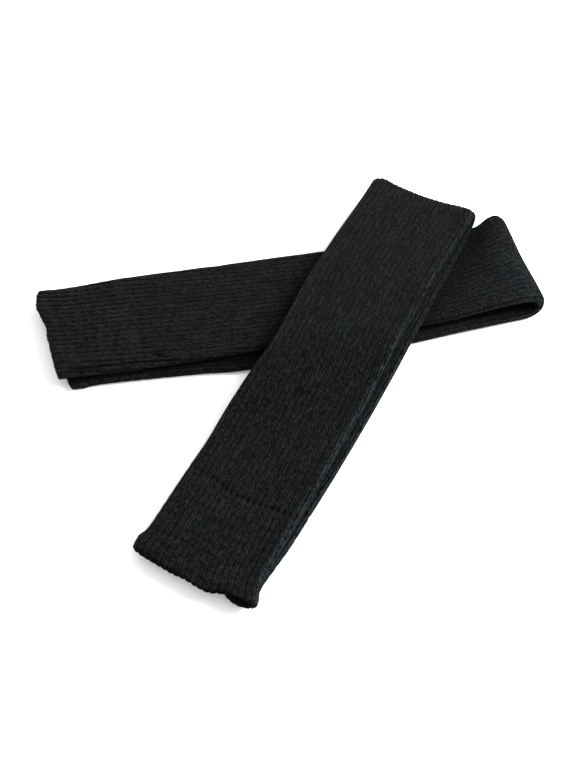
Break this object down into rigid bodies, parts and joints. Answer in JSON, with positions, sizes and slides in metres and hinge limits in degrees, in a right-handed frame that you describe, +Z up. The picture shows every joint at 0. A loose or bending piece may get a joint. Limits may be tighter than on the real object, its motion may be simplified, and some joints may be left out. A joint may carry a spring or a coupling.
{
  "type": "pair of dance socks",
  "caption": "Pair of long footless dance socks in black ribbed knit, each pressed flat, folded in half end to end and laid crosswise, one on the other.",
  "frame": {"origin": "on the floor, below the middle of the outline of the pair", "axes": "+Z up from the floor, +X to the right and +Y away from the side that the picture is taken from"},
  "size_m": [0.3932, 0.3964, 0.0267],
  "materials": {
    "ribbed_knit": "matt black ribbed knit with a faint fuzz"
  },
  "bodies": {
    "root": {"sock_under": "ribbed_knit", "sock_over": "ribbed_knit"}
  },
  "joints": []
}
